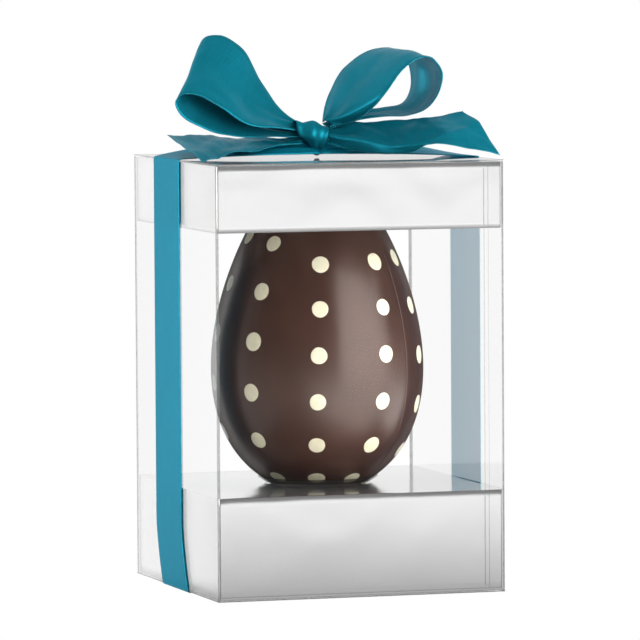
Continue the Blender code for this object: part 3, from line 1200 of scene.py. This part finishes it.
# a crease runs along the right tail, and the strip in front of it hangs down
tailRight = {
    "sections": (
        ((4.5, 1.4, 13.4), (4.1, -5.5, 10.6), (4.2, -6, 6)),
        ((12.2, -3.8, 15), (9.9, -13.5, 8.8), (10.1, -12.4, 3.8)),
        ((21.1, -11.8, 15.4), (17.1, -24.1, 7.5), (16.4, -21.4, 2.6)),
        ((29.9, -18.7, 15.7), (25.1, -35, 5.4), (23.6, -32, 2)),
        ((38.4, -24.5, 16.5), (32.4, -43.6, 6.5), (31.7, -41, 3.1)),
        ((44.3, -28.4, 17.4), (38.4, -47, 9), (37, -50, 7)),
        ((51, -32, 18.8), (47.3, -50, 12.4), (46, -57, 6.6)),
        ((56.5, -35.2, 19.9), (60.5, -46, 15.6), (64.3, -62, 1.8)),
    ),
    "crease": 0.6,
    "sharp": 0.85,  # how far the crease is pressed from a bend to a fold
    "bow": 0.0,
    "pleats": 2.2,
    "pleatDepth": 0.7,
    "pleatRun": 0.12,
    "phase": 0.9,
    "ripple": 1.3,
    "bothEnds": False,
    "seed": 3.7,
    "cut": 0.8,
    "restsOn": "carton_top",
}

makeStrand("bowLoopLeft", "bow_loop_left", loopLeft)
makeStrand("bowLoopRight", "bow_loop_right", loopRight)
makeStrand("bowTailLeft", "bow_tail_left", tailLeft)
makeStrand("bowTailRight", "bow_tail_right", tailRight)
print("bow")

band = {
    "leftY": 11 * mm,
    "leftFootY": 1 * mm,  # the band drifts to the front low on the left wall
    "footHeight": 30 * mm,
    "rightY": -11.5 * mm,
    "neck": 13 * mm,
    "riseBack": 6.6 * mm,  # how far the band's edges lift off the roof on the way to the knot
    "riseFront": 1.2 * mm,
    "clear": 0.35 * mm,
    "cornerRadius": 0.9 * mm,
    "lap": 0.3 * mm,  # how far each end runs past the middle, under the knot
    "pleats": 3.5,
    "pleatDepth": 0.9 * mm,
    "roofSteps": 24,
    "wallSteps": 60,
    "baseSteps": 30,
    "cornerSteps": 6,
}


def bandPath():
    # (x, z) of the run from the knot's left, round the carton, to the knot's right
    out = side + band["clear"]
    under = wallLow.z - band["clear"]
    over = roof + band["clear"]
    radius = band["cornerRadius"]
    flat = out - radius  # where the straight run over the roof or under the base ends
    tall = over - under - 2 * radius
    lap, roofSteps = band["lap"], band["roofSteps"]
    wallShares = [k / band["wallSteps"] for k in range(1, band["wallSteps"])]
    baseShares = [k / band["baseSteps"] for k in range(1, band["baseSteps"])]

    def corner(x, z, start):
        angles = [start + pi / 2 * k / band["cornerSteps"] for k in range(band["cornerSteps"] + 1)]
        return [(x + radius * cos(a), z + radius * sin(a)) for a in angles]

    path = [(lap - (flat + lap) * k / roofSteps, over) for k in range(roofSteps)]
    path += corner(-flat, over - radius, pi / 2)
    path += [(-out, over - radius - tall * share) for share in wallShares]
    path += corner(-flat, under + radius, pi)
    path += [(-flat + 2 * flat * share, under) for share in baseShares]
    path += corner(flat, under + radius, 3 * pi / 2)
    path += [(out, under + radius + tall * share) for share in wallShares]
    path += corner(flat, over - radius, 0)
    path += [(flat - (flat + lap) * k / (roofSteps - 1), over) for k in range(roofSteps)]
    return path


def makeBand():
    path = bandPath()
    out = side + band["clear"]
    rows = []
    for x, z in path:
        onTop = z > roof and abs(x) < out - band["cornerRadius"] - 0.1 * mm
        toNeck = 1 - (abs(x) - 5 * mm) / (out - 5 * mm) if onTop else 0.0
        toNeck = max(0.0, min(1.0, toNeck))
        if x < -out + 2 * mm:
            low = max(0.0, 1 - z / band["footHeight"])
            middle = band["leftY"] + (band["leftFootY"] - band["leftY"]) * low**1.5
        elif z < 2 * mm:
            share = (x + out) / (2 * out)
            middle = band["leftFootY"] + (band["rightY"] - band["leftFootY"]) * share
        elif x > out - 2 * mm:
            middle = band["rightY"]
        else:
            wallY = band["leftY"] if x < 0 else band["rightY"]
            middle = wallY * (1 - toNeck)
        half = (ribbon["width"] + (band["neck"] - ribbon["width"]) * toNeck) / 2
        row = []
        for j in range(ribbon["across"] + 1):
            q = j / ribbon["across"]
            lift = 0.0
            if onTop:
                rise = band["riseFront"] + (band["riseBack"] - band["riseFront"]) * q
                pleat = sin(2 * pi * band["pleats"] * q) * band["pleatDepth"] * toNeck**1.5
                lift = max(0.0, rise * sin(pi / 2 * min(1, 1.3 * toNeck)) + pleat)
            row.append(Vector((x, middle - half + 2 * half * q, z + lift)))
        rows.append(row)
    length = midLength(rows)
    # the band wears the brighter satin, painted lit
    cloth = place(layCloth("bandCloth", rows, litBandSatin, length), "satin", "ribbon_band")
    beads = edgeBeads("bandEdge", rows)


makeBand()

knot = {
    "steps": 36,
    "depth": 7.0 * mm,
    "leastDepth": 0.6 * mm,  # at the foot of the wrap
    "forward": 0.8 * mm,  # how far the wrap's middle stands in front of the carton's
    "edgeDrop": 0.9 * mm,
    "pleats": 1.6,
    "pleatDepth": 0.7 * mm,
    "phase": 2.4,
    # the ribbon is gathered in the knot, and only its outer turn is drawn
    "cut": 0.34,
    # the wrap's left and right edge down its front: x and height over the roof of each, in mm
    "front": (
        (-10.0, 16.6, 4.8, 14.2),
        (-10.1, 13.4, 4.8, 12.4),
        (-9.2, 10.0, 4.4, 10.4),
        (-5.2, 7.2, 3.5, 7.0),
        (-1.7, 2.9, 1.9, 2.6),
        (-0.5, 0.7, 0.8, 0.7),
    ),
}


def makeKnot():
    # a strip wrapped over the strands, from under them at the back, over the top and down the front
    steps = knot["steps"]
    lefts = curveThrough([Vector((e[0], 0, e[1])) * mm for e in knot["front"]], steps)
    rights = curveThrough([Vector((e[2], 0, e[3])) * mm for e in knot["front"]], steps)
    rows = []
    for sign, order in ((1, range(steps, 0, -1)), (-1, range(steps + 1))):
        for k in order:
            share = k / steps
            deep = knot["depth"] * sin(pi * min(1, 0.04 + share * 1.15)) ** 0.55 * (1 - 0.35 * share)
            deep = max(deep, knot["leastDepth"] * share)
            row = []
            for j in range(ribbon["across"] + 1):
                q = j / ribbon["across"]
                bulge = (4 * q * (1 - q)) ** 0.5
                wave = 2 * pi * knot["pleats"] * (q + 0.35 * share) + knot["phase"]
                pleat = sin(wave) * knot["pleatDepth"] * (1 - 0.5 * share)
                point = lefts[k].lerp(rights[k], q)
                onTop = max(0.0, 1 - share * 6)
                out = (deep * (0.72 + 0.28 * bulge) + pleat * (1 - onTop)) * sign
                up = pleat * onTop - knot["edgeDrop"] * (1 - bulge) * onTop
                row.append(Vector((point.x, out - knot["forward"], roof + point.z + up)))
            rows.append(row)
    length = midLength(rows)
    cloth = place(layCloth("knotWrap", rows, satin, length), "satin", "bow_knot")


makeKnot()
print("knot and band")
